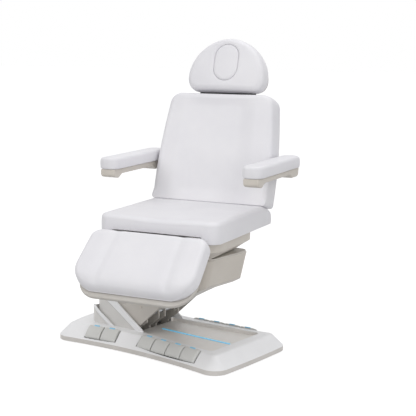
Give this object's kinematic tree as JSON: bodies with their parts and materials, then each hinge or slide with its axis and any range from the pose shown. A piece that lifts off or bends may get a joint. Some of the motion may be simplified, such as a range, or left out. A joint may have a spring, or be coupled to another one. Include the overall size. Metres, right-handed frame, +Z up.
{
  "type": "pedicure spa chair",
  "caption": "Electric treatment chair: cushioned seat, back, headrest with face plug, folding arms and leg rest on a swivelling parallelogram lift over a waisted base with twelve foot pedals.",
  "frame": {"origin": "on the floor, under the middle of the base", "axes": "+Z is up; -Y is the way the seat faces at rest; +X is the seated person's left"},
  "size_m": [1.0781, 1.1219, 1.4505],
  "materials": {
    "leather_cushion": "smooth matt upholstery leathercloth, near white",
    "shell_plastic": "fine satin moulding, warm light grey",
    "base_plastic": "satin moulding, pale grey",
    "pedal_plastic": "satin moulding, mid grey",
    "light_strip": "clear light-blue diffuser",
    "painted_steel": "powder coat, mid grey",
    "bright_steel": "ground and plated",
    "drive_casing": "fine texture, dark grey",
    "bronze_bush": "sintered bronze",
    "cushion_board": "smooth laminate board, light grey",
    "foot_rubber": "moulded rubber and steel stem"
  },
  "bodies": {
    "base": {"base_plate": "painted_steel", "base_cover": "base_plastic", "rear_shroud": "shell_plastic", "rear_hood": "shell_plastic", "lift_bracket": "painted_steel", "base_pins": "bright_steel", "levelling_feet": "foot_rubber", "led_strip": "light_strip", "pedal_switches": "drive_casing", "control_box": "drive_casing", "mains_inlet": "drive_casing", "base_screws": "bright_steel"},
    "lift_arm": {"arm_frame": "painted_steel", "arm_housing": "shell_plastic", "arm_bushes": "bronze_bush", "arm_screw_caps": "shell_plastic", "lift_motor": "drive_casing"},
    "level_link": {"level_link": "painted_steel"},
    "lift_rod": {"lift_rod": "bright_steel"},
    "carrier": {"carrier_head": "painted_steel", "carrier_cover": "shell_plastic", "carrier_pins": "bright_steel", "swivel_bearing": "bright_steel"},
    "seat": {"swivel_plate": "painted_steel", "seat_frame": "painted_steel", "seat_shell": "shell_plastic", "seat_board": "cushion_board", "seat_pad": "leather_cushion", "seat_hinge_pins": "bright_steel", "back_motor": "drive_casing", "leg_motor": "drive_casing"},
    "back": {"back_frame": "painted_steel", "back_shell": "shell_plastic", "back_pad": "leather_cushion", "arm_brackets": "painted_steel"},
    "back_rod": {"back_rod": "bright_steel"},
    "leg_rest": {"leg_frame": "painted_steel", "leg_board": "cushion_board", "leg_pad": "leather_cushion"},
    "leg_rod": {"leg_rod": "bright_steel"},
    "arm_left": {"arm_casing_left": "shell_plastic", "arm_pad_left": "leather_cushion"},
    "arm_right": {"arm_casing_right": "shell_plastic", "arm_pad_right": "leather_cushion"},
    "headrest": {"headrest_posts": "bright_steel", "headrest_board": "cushion_board", "headrest_pad": "leather_cushion"},
    "face_plug": {"face_plug": "leather_cushion"},
    "pedal_01": {"pedal_01": "pedal_plastic"},
    "pedal_02": {"pedal_02": "pedal_plastic"},
    "pedal_03": {"pedal_03": "pedal_plastic"},
    "pedal_04": {"pedal_04": "pedal_plastic"},
    "pedal_05": {"pedal_05": "pedal_plastic"},
    "pedal_06": {"pedal_06": "pedal_plastic"},
    "pedal_07": {"pedal_07": "pedal_plastic"},
    "pedal_08": {"pedal_08": "pedal_plastic"},
    "pedal_09": {"pedal_09": "pedal_plastic"},
    "pedal_10": {"pedal_10": "pedal_plastic"},
    "pedal_11": {"pedal_11": "pedal_plastic"},
    "pedal_12": {"pedal_12": "pedal_plastic"}
  },
  "joints": [
    {"name": "lift", "type": "hinge", "parent": "base", "child": "lift_arm", "pos_m": [-0.06358, 0.01351, 0.15], "axis": [-0.2079, -0.9781, 0], "range_deg": [-38, 18]},
    {"name": "link_swing", "type": "hinge", "parent": "base", "child": "level_link", "pos_m": [-0.08745, 0.01859, 0.1791], "axis": [-0.2079, -0.9781, 0], "range_deg": [-38, 18]},
    {"name": "head_level", "type": "hinge", "parent": "lift_arm", "child": "carrier", "pos_m": [0.21037, -0.04471, 0.385], "axis": [-0.2079, -0.9781, 0], "range_deg": [-18, 38]},
    {"name": "lift_rod_travel", "type": "slide", "parent": "lift_arm", "child": "lift_rod", "axis": [0.7493, -0.1593, 0.6428], "range_m": [-0.0275, 0.0131]},
    {"name": "swivel", "type": "hinge", "parent": "carrier", "child": "seat", "pos_m": [0.13009, -0.02765, 0.5], "axis": [0, 0, 1], "range_deg": [-12, 168]},
    {"name": "recline", "type": "hinge", "parent": "seat", "child": "back", "pos_m": [0.13009, 0.19235, 0.609], "axis": [-1, 0, 0], "range_deg": [0, 73]},
    {"name": "back_rod_travel", "type": "slide", "parent": "seat", "child": "back_rod", "axis": [0, -1, 0], "range_m": [0, 0.0752]},
    {"name": "leg_raise", "type": "hinge", "parent": "seat", "child": "leg_rest", "pos_m": [0.13009, -0.34465, 0.592], "axis": [-1, 0, 0], "range_deg": [-35, 43]},
    {"name": "leg_rod_travel", "type": "slide", "parent": "seat", "child": "leg_rod", "axis": [0, -1, 0], "range_m": [-0.0278, 0.0341]},
    {"name": "arm_left_fold", "type": "hinge", "parent": "back", "child": "arm_left", "pos_m": [0.49559, 0.27235, 0.836], "axis": [-1, 0, 0], "range_deg": [0, 100]},
    {"name": "arm_right_fold", "type": "hinge", "parent": "back", "child": "arm_right", "pos_m": [-0.23541, 0.27235, 0.836], "axis": [-1, 0, 0], "range_deg": [0, 100]},
    {"name": "headrest_height", "type": "slide", "parent": "back", "child": "headrest", "axis": [0, 0.2924, 0.9563], "range_m": [0, 0.12]},
    {"name": "plug_pull", "type": "slide", "parent": "headrest", "child": "face_plug", "axis": [0, -0.9563, 0.2924], "range_m": [0, 0.08]},
    {"name": "pedal_01_press", "type": "hinge", "parent": "base", "child": "pedal_01", "pos_m": [0.00345, -0.1995, 0.062], "axis": [0.965, -0.2622, 0], "range_deg": [0, 5], "stiffness_Nm_per_rad": 3, "springref_deg": -2.29},
    {"name": "pedal_02_press", "type": "hinge", "parent": "base", "child": "pedal_02", "pos_m": [0.09078, -0.22322, 0.062], "axis": [0.965, -0.2622, 0], "range_deg": [0, 5], "stiffness_Nm_per_rad": 3, "springref_deg": -2.29},
    {"name": "pedal_03_press", "type": "hinge", "parent": "base", "child": "pedal_03", "pos_m": [0.17812, -0.24695, 0.062], "axis": [0.965, -0.2622, 0], "range_deg": [0, 5], "stiffness_Nm_per_rad": 3, "springref_deg": -2.29},
    {"name": "pedal_04_press", "type": "hinge", "parent": "base", "child": "pedal_04", "pos_m": [0.26545, -0.27068, 0.062], "axis": [0.965, -0.2622, 0], "range_deg": [0, 5], "stiffness_Nm_per_rad": 3, "springref_deg": -2.29},
    {"name": "pedal_05_press", "type": "hinge", "parent": "base", "child": "pedal_05", "pos_m": [-0.3092, -0.15766, 0.062], "axis": [0.9962, -0.0872, 0], "range_deg": [0, 5], "stiffness_Nm_per_rad": 3, "springref_deg": -2.29},
    {"name": "pedal_06_press", "type": "hinge", "parent": "base", "child": "pedal_06", "pos_m": [-0.21905, -0.16555, 0.062], "axis": [0.9962, -0.0872, 0], "range_deg": [0, 5], "stiffness_Nm_per_rad": 3, "springref_deg": -2.29},
    {"name": "pedal_07_press", "type": "hinge", "parent": "base", "child": "pedal_07", "pos_m": [0.3526, 0.13931, 0.062], "axis": [-0.9882, 0.153, 0], "range_deg": [0, 5], "stiffness_Nm_per_rad": 3, "springref_deg": -2.29},
    {"name": "pedal_08_press", "type": "hinge", "parent": "base", "child": "pedal_08", "pos_m": [0.26316, 0.15316, 0.062], "axis": [-0.9882, 0.153, 0], "range_deg": [0, 5], "stiffness_Nm_per_rad": 3, "springref_deg": -2.29},
    {"name": "pedal_09_press", "type": "hinge", "parent": "base", "child": "pedal_09", "pos_m": [0.17373, 0.167, 0.062], "axis": [-0.9882, 0.153, 0], "range_deg": [0, 5], "stiffness_Nm_per_rad": 3, "springref_deg": -2.29},
    {"name": "pedal_10_press", "type": "hinge", "parent": "base", "child": "pedal_10", "pos_m": [0.08429, 0.18085, 0.062], "axis": [-0.9882, 0.153, 0], "range_deg": [0, 5], "stiffness_Nm_per_rad": 3, "springref_deg": -2.29},
    {"name": "pedal_11_press", "type": "hinge", "parent": "base", "child": "pedal_11", "pos_m": [-0.13278, 0.24033, 0.062], "axis": [-0.9455, 0.3256, 0], "range_deg": [0, 5], "stiffness_Nm_per_rad": 3, "springref_deg": -2.29},
    {"name": "pedal_12_press", "type": "hinge", "parent": "base", "child": "pedal_12", "pos_m": [-0.21835, 0.26979, 0.062], "axis": [-0.9455, 0.3256, 0], "range_deg": [0, 5], "stiffness_Nm_per_rad": 3, "springref_deg": -2.29}
  ],
  "couplings": [
    {"joint": "link_swing", "follows": "lift", "ratio": 1},
    {"joint": "head_level", "follows": "lift", "ratio": -1},
    {"joint": "lift_rod_travel", "follows": "lift", "m_per_rad": 0.040953},
    {"joint": "back_rod_travel", "follows": "recline", "m_per_rad": 0.058759},
    {"joint": "leg_rod_travel", "follows": "leg_raise", "m_per_rad": 0.045044}
  ]
}
